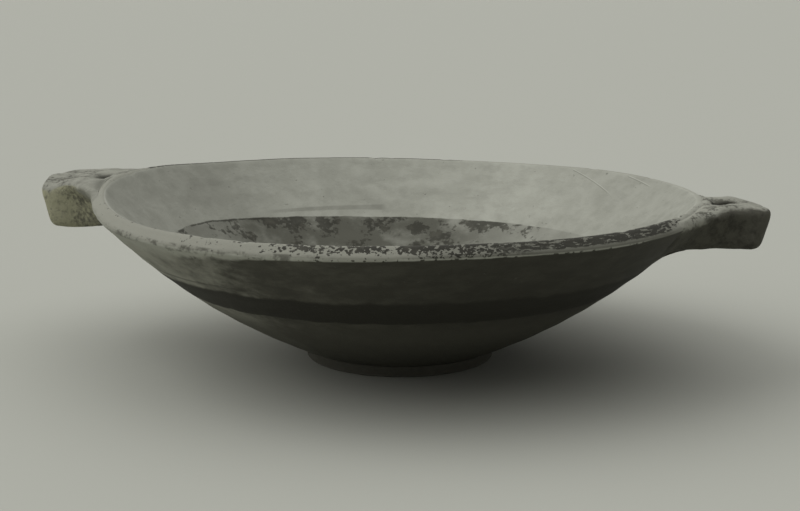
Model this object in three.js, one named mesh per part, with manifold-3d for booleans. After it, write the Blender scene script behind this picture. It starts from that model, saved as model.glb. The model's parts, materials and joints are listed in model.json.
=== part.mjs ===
// A shallow two-handled pottery bowl: a thrown body, a ring foot and two horizontal strap handles,
// each a separate piece of clay, with the wads of soft clay that lute them together.
// Millimetres, +Z up. The bowl stands on z = 0, its axis is Z and its handles lie along X.
import * as THREE from "three";
import { mergeVertices } from "three/addons/utils/BufferGeometryUtils.js";
import Module from "manifold-3d";

// Driving dimensions of the thrown body
const LIP_RADIUS = 150; // axis to the crest of the lip
const LIP_HEIGHT = 85.4; // table to the crest of the lip, where the rim is level
const WALL = 8.5; // thickness of the wall, square to its face
const WALL_CURVE = 398; // radius of the slow outward curve of the wall, seen in profile
const LIP_RAKE = 1.2; // rise of the lip's outer edge past square, along the wall
const LIP_ROUND = 2; // wear of the two edges of the lip
const FLOOR = 7.5; // thickness of the floor on the axis
const FLOOR_DISH = 3; // rise of the floor from the axis to the start of the wall
const RIM_WAVE = 1.8; // rise and fall of the rim, which dried out of true
const RIM_WAVE_TURN = -19; // degrees from +X to a high point of the rim
const RIM_PULL = 2.4; // further rise of the rim beside the far arm of the left handle
const RIM_PULL_TURN = 168; // degrees from +X to the top of that rise
const RIM_PULL_SPREAD = 10.5; // degrees over which it falls away

// Driving dimensions of the foot
const FOOT_RADIUS = 48.2; // outside of the ring foot on the table
const FOOT_FLARE = 0.8; // widening of the ring foot up to the wall
const FOOT_HEIGHT = 5.6; // table to the underside of the body
const FOOT_RING_WIDTH = 9.5; // width of the ring foot across its clay
const FOOT_ROUND = 1.2; // wear of the edges that meet the table
const FOOT_LUTE = 3.2; // leg of the clay fillet inside the ring foot

// Driving dimensions of the handles, left near -X and right on +X. Their near side faces -Y.
const LEFT_TURN = 182; // degrees from +X to the middle of the handle
const RIGHT_TURN = 0;
const LEFT_PROJECTION = 32.2; // outer edge of the lip to the tip of the handle
const RIGHT_PROJECTION = 30.1;
const LEFT_ROOT_WIDTH = 50; // across both arms, just outside the rim
const RIGHT_ROOT_WIDTH = 46;
const LEFT_TIP_WIDTH = 53; // across the outer bend, before its corners are rounded
const RIGHT_TIP_WIDTH = 42;
const LEFT_SLANT = -0.6; // how much further out the near corner stands than the far one
const RIGHT_SLANT = 5;
const LEFT_BOW = 2.2; // outward bow of the outer end between its corners
const RIGHT_BOW = 0.8;
const BOW_ROUND = 15; // cut that rounds the middle of that bow
const LEFT_FAR_CORNER = 9; // cut of the rounded far corner, seen from above
const RIGHT_FAR_CORNER = 16;
const NEAR_CORNER = 9; // the same cut of the near corner
const LEFT_STRAP_HEIGHT = 22.6; // top to underside of the strap
const RIGHT_STRAP_HEIGHT = 20.4;
const LEFT_RISE = 0.3; // top of the strap above the crest of the lip beside it
const RIGHT_RISE = -0.5;
const LEFT_TILT = 2.6; // rise of the strap from its near side to its far side
const RIGHT_TILT = -1;
const LEFT_GAP_REACH = 8.6; // finger gap outward from the rim
const RIGHT_GAP_REACH = 12;
const LEFT_GAP_SHIFT = -5; // middle of the finger gap on the rim, towards the far side
const RIGHT_GAP_SHIFT = 1.5;
const LEFT_GAP_SKEW = 7; // further shift of the gap's outer end towards the far side
const RIGHT_GAP_SKEW = 7;
const GAP_WIDTH = 14.5; // finger gap along the rim
const GAP_TIP_WIDTH = 8; // finger gap at its outer end
const GAP_CORNER = 3; // rounding of the finger gap's corners, seen from above
const STRAP_FLARE = 4; // spread of each arm where it is pressed onto the rim
const STRAP_FLARE_LENGTH = 9; // length of that spread outside the rim
const STRAP_EDGE = 3.8; // rounding of the upper and lower edges
const STRAP_LEAN = 6; // outward lean of the outer face over the strap's height
const LUTE_LENGTH = 5.6; // clay fillet under each arm, along the arm
const LUTE_DROP = 6; // the same fillet, down the wall
const LUTE_EDGE = 0.5; // thickness of the fillet where it runs out
const LUTE_HOLLOW = 0.25; // how far a fillet stands out at its hollow, as a share of its leg

// Joints between pieces
const SLIP_FILM = 0.3; // film of liquid clay between luted faces

// Fineness of the curves
const TURN_STEPS = 72;
const WALL_STEPS = 9;
const FLOOR_STEPS = 4;
const EDGE_STEPS = 3;
const CORNER_STEPS = 5;
const CUT_SHARE = 0.98; // most of an edge that its two rounded corners may take
const MERGE_DISTANCE = 1e-4;

const CLAY = { slip: 0x8f8e7c, painted: 0x4a473c, foot: 0x56534a, lute: 0x625f52 };
const CLAY_ROUGHNESS = 0.85;

const wasm = await Module();
wasm.setup();

// Shapes of the wall in the profile plane, x = radius and y = height
const at = (x, y) => new THREE.Vector2(x, y);
const footEdge = at(FOOT_RADIUS + FOOT_FLARE, FOOT_HEIGHT);
const lipCrest = at(LIP_RADIUS, LIP_HEIGHT);

// The wall's two faces are arcs about one centre: the outer passes through the foot's edge, the
// inner through the crest of the lip.
function wallCentre() {
  const span = lipCrest.clone().sub(footEdge);
  const length = span.length();
  const inner = WALL_CURVE - WALL;
  const along = (WALL_CURVE ** 2 - inner ** 2 + length ** 2) / (2 * length);
  const aside = Math.sqrt(WALL_CURVE ** 2 - along ** 2);
  const direction = span.divideScalar(length);
  return at(
    footEdge.x + along * direction.x - aside * direction.y,
    footEdge.y + along * direction.y + aside * direction.x,
  );
}

const centre = wallCentre();
const angleOf = (point) => Math.atan2(point.y - centre.y, point.x - centre.x);
const onArc = (radius, angle) =>
  at(centre.x + radius * Math.cos(angle), centre.y + radius * Math.sin(angle));
const arcAtHeight = (radius, height) => onArc(radius, Math.asin((height - centre.y) / radius));

// Points along an arc of the wall, both ends included.
function arcPoints(radius, from, to, steps) {
  const turn = (i) => THREE.MathUtils.lerp(from, to, i / steps);
  return Array.from({ length: steps + 1 }, (_, i) => onArc(radius, turn(i)));
}

// A corner cut back by a length on both sides and rounded by a curve between the cuts.
function roundCorner(before, corner, after, cut, steps) {
  const start = corner.clone().add(before.clone().sub(corner).setLength(cut));
  const end = corner.clone().add(after.clone().sub(corner).setLength(cut));
  return new THREE.QuadraticBezierCurve(start, corner, end).getPoints(steps);
}

const lipOuterAngle = angleOf(lipCrest) + LIP_RAKE / WALL_CURVE;
const lipOuter = onArc(WALL_CURVE, lipOuterAngle);

// The lip is a narrow face between the crest and the outer edge, both worn round. A grown lip is
// the same face moved out by a clearance, for cutting what is luted onto it.
function wallOutside(grow) {
  const radius = WALL_CURVE + grow;
  const tilt = lipOuter.clone().sub(lipCrest).normalize();
  const lift = at(-tilt.y, tilt.x).multiplyScalar(grow);
  const outer = onArc(radius, lipOuterAngle).add(lift);
  const crest = lipCrest.clone().add(lift);
  const rise = arcPoints(radius, angleOf(footEdge), lipOuterAngle - LIP_ROUND / radius, WALL_STEPS);
  const edge = roundCorner(rise[WALL_STEPS], outer, crest, LIP_ROUND, EDGE_STEPS);
  return { rise, edge, outer, crest };
}

// The rim dried into a low saddle: what stands far out on the bowl rises and falls round the rim.
const waveTurn = THREE.MathUtils.degToRad(RIM_WAVE_TURN);
const pullTurn = THREE.MathUtils.degToRad(RIM_PULL_TURN);
const pullSpread = THREE.MathUtils.degToRad(RIM_PULL_SPREAD);
function waveAt(angle) {
  const aside = THREE.MathUtils.euclideanModulo(angle - pullTurn + Math.PI, 2 * Math.PI) - Math.PI;
  const pull = RIM_PULL * Math.exp(-0.5 * (aside / pullSpread) ** 2);
  return RIM_WAVE * Math.cos(2 * (angle - waveTurn)) + pull;
}

function waveRim(geometry) {
  const position = geometry.attributes.position;
  for (let i = 0; i < position.count; i += 1) {
    const x = position.getX(i);
    const y = position.getY(i);
    const out = (Math.hypot(x, y) - footEdge.x) / (LIP_RADIUS - footEdge.x);
    const share = Math.max(out, 0) ** 2;
    position.setZ(i, position.getZ(i) + share * waveAt(Math.atan2(y, x)));
  }
  return geometry;
}

// A profile turned about Z.
const turned = (points) => new THREE.LatheGeometry(points, TURN_STEPS).rotateX(Math.PI / 2);

// A closed geometry as a solid that can be cut, and back again.
function solidOf(geometry) {
  const bare = new THREE.BufferGeometry();
  bare.setAttribute("position", geometry.attributes.position);
  bare.setIndex(geometry.index);
  const merged = mergeVertices(bare, MERGE_DISTANCE);
  const triVerts = new Uint32Array(merged.index.array);
  const vertProperties = merged.attributes.position.array;
  return new wasm.Manifold(new wasm.Mesh({ numProp: 3, vertProperties, triVerts }));
}

function geometryOf(solid) {
  const mesh = solid.getMesh();
  const geometry = new THREE.BufferGeometry();
  geometry.setAttribute("position", new THREE.BufferAttribute(mesh.vertProperties, 3));
  geometry.setIndex(new THREE.BufferAttribute(mesh.triVerts, 1));
  geometry.computeVertexNormals();
  return geometry;
}

// The body: a flat underside, the outer wall, the lip, the inner wall and a dished floor.
function bodyGeometry() {
  const innerRadius = WALL_CURVE - WALL;
  const floorTop = FOOT_HEIGHT + FLOOR;
  const floorEdge = arcAtHeight(innerRadius, floorTop + FLOOR_DISH);
  const steepness = Math.tan(angleOf(floorEdge) + Math.PI / 2);
  const floorTurn = at(floorEdge.x - FLOOR_DISH / steepness, floorTop);
  const floorCurve = new THREE.QuadraticBezierCurve(floorEdge, floorTurn, at(0, floorTop));
  const { rise, edge, outer } = wallOutside(0);
  const innerStart = angleOf(lipCrest) - LIP_ROUND / innerRadius;
  const fall = arcPoints(innerRadius, innerStart, angleOf(floorEdge), WALL_STEPS);
  const crest = roundCorner(outer, lipCrest, fall[0], LIP_ROUND, EDGE_STEPS);
  const floor = floorCurve.getPoints(FLOOR_STEPS).slice(1);
  const profile = [
    at(0, FOOT_HEIGHT),
    ...rise.slice(0, -1),
    ...edge,
    ...crest,
    ...fall.slice(1),
    ...floor,
  ];
  return waveRim(turned(profile));
}

// Everything inside the outer wall and the lip, grown by the slip film, as a cutter for a handle that
// stands at a turn from +X.
function bodyCutter(turn) {
  const { rise, edge, crest } = wallOutside(SLIP_FILM);
  const above = lipCrest.y + LEFT_STRAP_HEIGHT + RIGHT_STRAP_HEIGHT;
  const profile = [
    at(0, rise[0].y),
    ...rise.slice(0, -1),
    ...edge,
    crest,
    at(crest.x, above),
    at(0, above),
  ];
  return solidOf(waveRim(turned(profile)).rotateZ(-turn));
}

// The ring foot, widening a little up to the wall, with worn edges on the table.
function footRingGeometry() {
  const top = FOOT_HEIGHT - SLIP_FILM;
  const innerRadius = FOOT_RADIUS - FOOT_RING_WIDTH;
  const outerTop = at(footEdge.x, top);
  const innerTop = at(innerRadius, top);
  const outerFoot = at(FOOT_RADIUS, 0);
  const innerFoot = at(innerRadius, 0);
  const profile = [
    innerTop,
    ...roundCorner(innerTop, innerFoot, outerFoot, FOOT_ROUND, EDGE_STEPS),
    ...roundCorner(innerFoot, outerFoot, outerTop, FOOT_ROUND, EDGE_STEPS),
    outerTop,
    innerTop,
  ];
  return turned(profile);
}

// The fillet of clay pressed into the corner between the ring foot and the underside of the body.
function footLuteGeometry() {
  const corner = at(FOOT_RADIUS - FOOT_RING_WIDTH - SLIP_FILM, FOOT_HEIGHT - SLIP_FILM);
  const low = at(corner.x, corner.y - FOOT_LUTE);
  const inward = at(corner.x - FOOT_LUTE, corner.y);
  const hollow = at(corner.x - LUTE_HOLLOW * FOOT_LUTE, corner.y - LUTE_HOLLOW * FOOT_LUTE);
  const face = new THREE.QuadraticBezierCurve(inward, hollow, low).getPoints(EDGE_STEPS);
  return turned([...face, corner, inward]);
}

// An outline from corners, each [x, y, cut], where a cut rounds the corner. Two cuts that meet on a
// short edge share its length.
function roundedOutline(corners) {
  const points = corners.map(([x, y]) => at(x, y));
  const shared = (edge, cut, next) => (CUT_SHARE * edge * cut) / (cut + next);
  const outline = corners.flatMap(([, , cut = 0], i) => {
    const last = (i + 1) % points.length;
    const [before, corner, after] = [points.at(i - 1), points[i], points[last]];
    const [, , cutBefore = 0] = corners.at(i - 1);
    const [, , cutAfter = 0] = corners[last];
    const roomBefore = shared(before.distanceTo(corner), cut, cutBefore);
    const roomAfter = shared(after.distanceTo(corner), cut, cutAfter);
    const fits = Math.min(cut, roomBefore, roomAfter);
    return cut ? roundCorner(before, corner, after, fits, CORNER_STEPS) : [corner];
  });
  return new THREE.Shape(outline);
}

// A handle in its own frame, standing on +X, with far giving the sign of its far side along Y. It is
// turned to its place on the bowl with its group.
function handlePlan(sizes) {
  const turn = THREE.MathUtils.degToRad(sizes.turn);
  const top = LIP_HEIGHT + waveAt(turn) + sizes.rise;
  const bottom = top - sizes.strapHeight;
  const rootX = arcAtHeight(WALL_CURVE, bottom).x;
  return { ...sizes, turn, top, bottom, rootX, tipX: lipOuter.x + sizes.projection };
}

// The strap seen from above: two arms pressed onto the rim, a blunt outer bend and the finger gap.
function strapOutline(plan) {
  const insideX = plan.rootX - WALL;
  const flareX = lipOuter.x + STRAP_FLARE_LENGTH;
  const gapX = lipOuter.x + plan.gapReach;
  const arm = plan.rootWidth / 2;
  const spread = arm + (STRAP_FLARE * (flareX - insideX)) / (2 * STRAP_FLARE_LENGTH);
  const tip = plan.tipWidth / 2;
  const gapNear = plan.gapShift - GAP_WIDTH / 2;
  const gapFar = plan.gapShift + GAP_WIDTH / 2;
  const gapEnd = plan.gapShift + plan.gapSkew;
  const outside = [
    [insideX, -spread],
    [flareX, -arm, STRAP_FLARE_LENGTH / 2],
    [plan.tipX, -tip, NEAR_CORNER],
    [plan.tipX + plan.bow - plan.slant / 2, 0, BOW_ROUND],
    [plan.tipX - plan.slant, tip, plan.farCorner],
    [flareX, arm, STRAP_FLARE_LENGTH / 2],
    [insideX, spread],
  ];
  const inside = [
    [insideX, gapFar],
    [lipOuter.x, gapFar, GAP_CORNER],
    [gapX, gapEnd + GAP_TIP_WIDTH / 2, GAP_CORNER],
    [gapX, gapEnd - GAP_TIP_WIDTH / 2, GAP_CORNER],
    [lipOuter.x, gapNear, GAP_CORNER],
    [insideX, gapNear],
  ];
  return roundedOutline([...outside, ...inside].map(([x, y, cut]) => [x, plan.far * y, cut]));
}

// What is formed level in a handle's frame is tilted up towards the far side.
function tilted(geometry, { tilt, rootWidth, far }) {
  return geometry.applyMatrix4(new THREE.Matrix4().makeShear(0, 0, 0, (far * tilt) / rootWidth, 0, 0));
}

// The strap: its outline drawn up to the strap's height with rounded edges, leaning outward at the
// top, and cut back to the wall and the lip that it is luted onto.
function strapGeometry(plan, cutter) {
  const strap = new THREE.ExtrudeGeometry(strapOutline(plan), {
    depth: plan.strapHeight - 2 * STRAP_EDGE,
    bevelThickness: STRAP_EDGE,
    bevelSize: STRAP_EDGE,
    bevelOffset: -STRAP_EDGE,
    bevelSegments: EDGE_STEPS,
  }).translate(0, 0, plan.bottom + STRAP_EDGE);
  const position = strap.attributes.position;
  for (let i = 0; i < position.count; i += 1) {
    const out = (position.getX(i) - plan.rootX) / (plan.tipX - plan.rootX);
    const down = (plan.top - position.getZ(i)) / plan.strapHeight;
    position.setX(i, position.getX(i) - STRAP_LEAN * Math.max(out, 0) ** 2 * down);
  }
  return geometryOf(solidOf(tilted(strap, plan)).subtract(cutter));
}

// The wad of clay under one arm, between two distances from the handle's middle towards its far side.
function luteGeometry(plan, from, to, cutter) {
  const top = plan.bottom - SLIP_FILM;
  const low = arcAtHeight(WALL_CURVE, top - LUTE_DROP);
  const noseX = plan.rootX + LUTE_LENGTH;
  const hollow = at(plan.rootX, top - LUTE_HOLLOW * LUTE_DROP);
  const face = new THREE.QuadraticBezierCurve(low, hollow, at(noseX, top - LUTE_EDGE));
  const section = new THREE.Shape([
    ...face.getPoints(EDGE_STEPS),
    at(noseX, top),
    at(plan.rootX - WALL, top),
    at(low.x - WALL, low.y),
  ]);
  const wad = new THREE.ExtrudeGeometry(section, { depth: to - from, bevelEnabled: false });
  wad.rotateX(Math.PI / 2).translate(0, Math.max(plan.far * from, plan.far * to), 0);
  return geometryOf(solidOf(tilted(wad, plan)).subtract(cutter));
}

// A named piece of clay in its colour.
function piece(name, geometry, color) {
  const material = new THREE.MeshStandardMaterial({ color, roughness: CLAY_ROUGHNESS, metalness: 0 });
  const mesh = new THREE.Mesh(geometry, material);
  mesh.name = name;
  return mesh;
}

// A handle with its two wads of luting clay, in a group turned to its side of the bowl.
function handleGroup(name, sizes) {
  const plan = handlePlan(sizes);
  const cutter = bodyCutter(plan.turn);
  const arm = plan.rootWidth / 2;
  const near = luteGeometry(plan, -arm, plan.gapShift - GAP_WIDTH / 2, cutter);
  const far = luteGeometry(plan, plan.gapShift + GAP_WIDTH / 2, arm, cutter);
  const group = new THREE.Group();
  group.add(piece(`handle_${name}`, strapGeometry(plan, cutter), CLAY.painted));
  group.add(piece(`lute_${name}_near`, near, CLAY.lute));
  group.add(piece(`lute_${name}_far`, far, CLAY.lute));
  group.rotation.z = plan.turn;
  return group;
}

const leftHandle = {
  turn: LEFT_TURN,
  far: -1,
  projection: LEFT_PROJECTION,
  rootWidth: LEFT_ROOT_WIDTH,
  tipWidth: LEFT_TIP_WIDTH,
  slant: LEFT_SLANT,
  bow: LEFT_BOW,
  farCorner: LEFT_FAR_CORNER,
  strapHeight: LEFT_STRAP_HEIGHT,
  rise: LEFT_RISE,
  tilt: LEFT_TILT,
  gapReach: LEFT_GAP_REACH,
  gapShift: LEFT_GAP_SHIFT,
  gapSkew: LEFT_GAP_SKEW,
};
const rightHandle = {
  turn: RIGHT_TURN,
  far: 1,
  projection: RIGHT_PROJECTION,
  rootWidth: RIGHT_ROOT_WIDTH,
  tipWidth: RIGHT_TIP_WIDTH,
  slant: RIGHT_SLANT,
  bow: RIGHT_BOW,
  farCorner: RIGHT_FAR_CORNER,
  strapHeight: RIGHT_STRAP_HEIGHT,
  rise: RIGHT_RISE,
  tilt: RIGHT_TILT,
  gapReach: RIGHT_GAP_REACH,
  gapShift: RIGHT_GAP_SHIFT,
  gapSkew: RIGHT_GAP_SKEW,
};

const bowl = new THREE.Group();
bowl.add(piece("bowl_body", bodyGeometry(), CLAY.slip));
bowl.add(piece("foot_ring", footRingGeometry(), CLAY.foot));
bowl.add(piece("foot_lute", footLuteGeometry(), CLAY.lute));
bowl.add(handleGroup("left", leftHandle));
bowl.add(handleGroup("right", rightHandle));

export default bowl;
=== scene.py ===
# %% [markdown]
# # A two-handled pottery bowl
#
# The bowl is old, hand-made and worn: a wheel-thrown body on a low ring foot, with a strap of clay
# luted to the rim on each side. Pale slip covers the inside and the rim, dark paint covers the
# outside in broad strokes, and both have flaked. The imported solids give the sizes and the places.
# This script models each piece again with the softness of worked clay and gives it its finish.

# %% Load the frame
import json
import math
import random

import bpy
import numpy as np
from mathutils import Matrix, Vector, noise
from mathutils.bvhtree import BVHTree

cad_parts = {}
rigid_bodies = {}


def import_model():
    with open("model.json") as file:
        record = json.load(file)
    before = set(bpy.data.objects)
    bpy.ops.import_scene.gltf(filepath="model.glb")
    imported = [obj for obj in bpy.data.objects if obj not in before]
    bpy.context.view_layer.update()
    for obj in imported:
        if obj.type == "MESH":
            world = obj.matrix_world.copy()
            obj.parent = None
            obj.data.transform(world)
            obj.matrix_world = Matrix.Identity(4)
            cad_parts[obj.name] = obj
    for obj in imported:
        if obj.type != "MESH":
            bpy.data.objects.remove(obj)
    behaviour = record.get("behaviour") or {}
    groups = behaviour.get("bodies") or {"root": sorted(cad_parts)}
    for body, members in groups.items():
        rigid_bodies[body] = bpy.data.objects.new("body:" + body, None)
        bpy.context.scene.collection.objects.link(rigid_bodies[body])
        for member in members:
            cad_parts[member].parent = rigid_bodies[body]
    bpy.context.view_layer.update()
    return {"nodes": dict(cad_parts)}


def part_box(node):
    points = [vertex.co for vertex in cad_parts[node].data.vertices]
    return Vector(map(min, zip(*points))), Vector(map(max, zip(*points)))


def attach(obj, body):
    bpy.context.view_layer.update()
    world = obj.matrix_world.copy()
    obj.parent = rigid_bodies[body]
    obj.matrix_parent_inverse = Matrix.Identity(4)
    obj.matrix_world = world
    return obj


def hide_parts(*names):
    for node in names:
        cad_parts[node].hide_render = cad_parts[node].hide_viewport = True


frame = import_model()
print("solids:", sorted(frame["nodes"]))

# %% [markdown]
# ## Camera
#
# The photograph looks slightly down on the bowl from a little to the right of its middle. A long
# lens keeps the far rim almost as wide as the near one. The camera is pitched down at the bowl
# instead of shifted, so that it also works when it moves round to another side.

# %% Set the camera
FRAME_WIDTH = 800  # pixels of the photograph
SENSOR_WIDTH = 36  # millimetres
FOCAL_PIXELS = 1496.6
CAMERA_PLACE = Vector((0.1744, -0.7414, 0.1988))
CAMERA_AZIMUTH = math.radians(13.25)
CAMERA_PITCH = math.radians(10.91)
CAMERA_ROLL = math.radians(0.24)

lens = bpy.data.cameras.new("camera")
lens.sensor_width = SENSOR_WIDTH
lens.lens = FOCAL_PIXELS * SENSOR_WIDTH / FRAME_WIDTH
camera = bpy.data.objects.new("camera", lens)
bpy.context.scene.collection.objects.link(camera)
camera.matrix_world = (
    Matrix.Translation(CAMERA_PLACE)
    @ Matrix.Rotation(CAMERA_AZIMUTH, 4, "Z")
    @ Matrix.Rotation(math.pi / 2 - CAMERA_PITCH, 4, "X")
    @ Matrix.Rotation(CAMERA_ROLL, 4, "Z")
)
bpy.context.scene.camera = camera
print("lens:", round(lens.lens, 1), "mm")

# %% [markdown]
# ## Shader wiring
#
# A worn finish is a sum of many masks: where the brush went, where the paint has flaked, where the
# clay is stained. Such sums can be put together from Math nodes by hand, but they soon get hard to
# follow. Written as Python expressions they stay readable: `Wire` holds a socket and adds a Math
# node for each operator.

# %% Wrap a socket
class Wire:
    """A shader socket that can be used in sums, so that 1 - mask adds a Math node."""

    def __init__(self, wiring, socket):
        self.wiring = wiring
        self.socket = socket

    def __add__(self, other):
        return self.wiring.math("ADD", self, other)

    def __radd__(self, other):
        return self.wiring.math("ADD", other, self)

    def __sub__(self, other):
        return self.wiring.math("SUBTRACT", self, other)

    def __rsub__(self, other):
        return self.wiring.math("SUBTRACT", other, self)

    def __mul__(self, other):
        return self.wiring.math("MULTIPLY", self, other)

    def __rmul__(self, other):
        return self.wiring.math("MULTIPLY", other, self)

    def __truediv__(self, other):
        return self.wiring.math("DIVIDE", self, other)

    def __rtruediv__(self, other):
        return self.wiring.math("DIVIDE", other, self)


print("wires ready")

# %% [markdown]
# ## A tree of nodes
#
# All other nodes come from one method. It changes a node's settings first and then feeds its sockets,
# because a setting can change which sockets there are. `Wiring` gives short names to the few kinds of
# node that these finishes need.

# %% Wrap a tree of nodes
class Wiring:
    """A tree of shader nodes under construction."""

    def __init__(self, tree):
        self.tree = tree

    def node(self, kind, settings, inputs, output=0):
        """Any node: its settings are set first, then its sockets get their values or links."""
        node = self.tree.nodes.new(kind)
        for name, value in settings.items():
            setattr(node, name, value)
        for name, value in inputs.items():
            self.feed(node.inputs[name], value)
        return Wire(self, node.outputs[output])

    def feed(self, socket, value):
        if isinstance(value, Wire):
            self.tree.links.new(value.socket, socket)
        else:
            socket.default_value = value

    def math(self, operation, *values):
        return self.node("ShaderNodeMath", {"operation": operation}, dict(enumerate(values)))

    def ramp(self, value, low, high):
        """0 below low, 1 above high and a soft step between. It falls where low is above high."""
        ends = {"Value": value, "From Min": low, "From Max": high}
        return self.node("ShaderNodeMapRange", {"interpolation_type": "SMOOTHSTEP"}, ends)

    def mix(self, share, first, second):
        """A colour between two colours."""
        settings = {"data_type": "RGBA"}
        return self.node("ShaderNodeMix", settings, {0: share, 6: first, 7: second}, output=2)

    def place(self):
        """Object coordinates, in metres."""
        return self.node("ShaderNodeTexCoord", {}, {}, output=3)

    def axes(self, vector):
        """The three numbers of a vector."""
        return [self.node("ShaderNodeSeparateXYZ", {}, {"Vector": vector}, i) for i in range(3)]

    def vector(self, x, y, z):
        return self.node("ShaderNodeCombineXYZ", {}, {"X": x, "Y": y, "Z": z})

    def mark(self, name):
        """A number that the mesh carries at each of its points."""
        return self.node("ShaderNodeAttribute", {"attribute_name": name}, {}, output=2)

    def noise(self, vector, lump, detail=4.0, roughness=0.55):
        """Cloudy noise from 0 to 1, with lumps of about that size in metres."""
        inputs = {"Vector": vector, "Scale": 1 / lump, "Detail": detail, "Roughness": roughness}
        return self.node("ShaderNodeTexNoise", {}, inputs)


print("trees of nodes ready")

# %% [markdown]
# ## A material
#
# Fired clay without a glaze is matt and a little grainy. One Principled shader is enough for it. Each
# finish gives it a colour, a roughness and a fine relief, and all else is the same for every piece,
# so one class makes them all. The relief is a bump, because grit is too small for the mesh.

# %% Wrap a material
CLAY_SPECULAR = 0.25  # unglazed clay shines little


class Finish(Wiring):
    """A material under construction."""

    def __init__(self, name):
        self.material = bpy.data.materials.new(name)
        self.material.use_nodes = True
        super().__init__(self.material.node_tree)
        self.shader = self.tree.nodes["Principled BSDF"]

    def finished(self, colour, roughness, relief, depth):
        """Links the shader: its colour, its roughness and a bump of that depth in metres."""
        bump = self.node("ShaderNodeBump", {}, {"Height": relief, "Distance": depth, "Strength": 1.0})
        self.feed(self.shader.inputs["Base Color"], colour)
        self.feed(self.shader.inputs["Roughness"], roughness)
        self.feed(self.shader.inputs["Normal"], bump)
        self.shader.inputs["Specular IOR Level"].default_value = CLAY_SPECULAR
        return self.material


print("materials ready")

# %% [markdown]
# ## Floor and light
#
# The floor is plain and pale and runs far past the edge of the picture. One broad soft light stands
# high on the left and a little behind the bowl, as the photograph's does: the right side of the
# inside is the brightest part. A wider one hangs overhead, so that the outside, which leans outward,
# lies in its own shade and the shadow gathers under it. A dim even sky fills the rest.

# %% Lay the floor and set the light
def tone(red, green, blue):
    """A colour given as it looks on screen, from 0 to 255, for a shader."""
    def linear(value):
        share = value / 255
        return share / 12.92 if share <= 0.04045 else ((share + 0.055) / 1.055) ** 2.4
    return (linear(red), linear(green), linear(blue), 1.0)


FLOOR_RADIUS = 14.0
FLOOR_DROP = 0.0002  # keeps the floor clear of the foot that stands on it
FLOOR_TONE = tone(170, 171, 162)
SKY_LIGHT = 0.25
LIGHTS = {  # from where, spread in degrees, level
    "side_light": (Vector((-0.85, -0.22, 0.66)), 65, 1.30),
    "top_light": (Vector((-0.10, 0.10, 1.00)), 110, 1.72),
}

bpy.ops.object.select_all(action="DESELECT")
bpy.ops.mesh.primitive_circle_add(vertices=96, radius=FLOOR_RADIUS, fill_type="NGON")
floor = bpy.context.object
floor.location.z = -FLOOR_DROP
floor.name = "floor"
paper = Finish("floor_paper")
paper.shader.inputs["Base Color"].default_value = FLOOR_TONE
paper.shader.inputs["Roughness"].default_value = 0.9
paper.shader.inputs["Specular IOR Level"].default_value = 0.1
floor.data.materials.append(paper.material)

for name, (origin, spread, level) in LIGHTS.items():
    lamp = bpy.data.lights.new(name, "SUN")
    lamp.angle = math.radians(spread)
    lamp.energy = level
    light = bpy.data.objects.new(name, lamp)
    light.rotation_euler = origin.to_track_quat("Z", "Y").to_euler()
    bpy.context.scene.collection.objects.link(light)

sky = bpy.data.worlds.new("sky")
sky.use_nodes = True
bpy.context.scene.world = sky
air = Wiring(sky.node_tree)
rays = ("Is Camera Ray", "Is Glossy Ray", "Is Transmission Ray")
straight, glossy, passing = [air.node("ShaderNodeLightPath", {}, {}, ray) for ray in rays]
sky_colour = air.mix(straight + glossy + passing, (SKY_LIGHT, SKY_LIGHT, SKY_LIGHT, 1.0), FLOOR_TONE)
air.feed(sky.node_tree.nodes["Background"].inputs["Color"], sky_colour)
bpy.context.scene.view_settings.view_transform = "Standard"
print("floor, sky and", len(LIGHTS), "lights set")

# %% [markdown]
# ## The section of the body
#
# A thrown bowl is the same in section all the way round, so it starts as one line in the XZ plane.
# The two faces of the wall are arcs about one centre. The foot's edge and the height of the
# underside come from the solids, and the rest of the section is a few real sizes.

# %% Work out the section
LIP_CREST = Vector((0.150, 0.0854))  # radius and height of the lip where the rim is level
WALL = 0.0085
WALL_CURVE = 0.398  # radius of the slow outward curve of the wall
LIP_RAKE = 0.0012

body_low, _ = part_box("bowl_body")
_, ring_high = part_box("foot_ring")
FOOT_EDGE = Vector((ring_high.x, body_low.z))


def wall_centre():
    """Centre of the arcs: the outer passes through the foot's edge, the inner through the lip."""
    span = LIP_CREST - FOOT_EDGE
    inner = WALL_CURVE - WALL
    along = (WALL_CURVE**2 - inner**2 + span.length_squared) / (2 * span.length)
    aside = math.sqrt(WALL_CURVE**2 - along**2)
    way = span.normalized()
    return FOOT_EDGE + along * way + aside * Vector((-way.y, way.x))


def angle_of(point):
    return math.atan2(point.y - CENTRE.y, point.x - CENTRE.x)


def on_arc(radius, angle):
    return CENTRE + radius * Vector((math.cos(angle), math.sin(angle)))


CENTRE = wall_centre()
LIP_OUTER = on_arc(WALL_CURVE, angle_of(LIP_CREST) + LIP_RAKE / WALL_CURVE)
print("outer edge of the lip:", [round(v, 5) for v in LIP_OUTER])

# %% [markdown]
# ## Drawing and spinning
#
# By hand, a turned piece is drawn as a chain of points, each extruded from the last, and then spun
# about the vertical axis. A Screw modifier could turn the line too, but the steps that follow need a
# plain mesh. The spin leaves doubled points where it closes and at the axis. Those are merged, and
# then the faces are turned to point outward.

# %% Draw a section and spin it
SEAM = 1e-5  # points closer than this are one point


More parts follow.
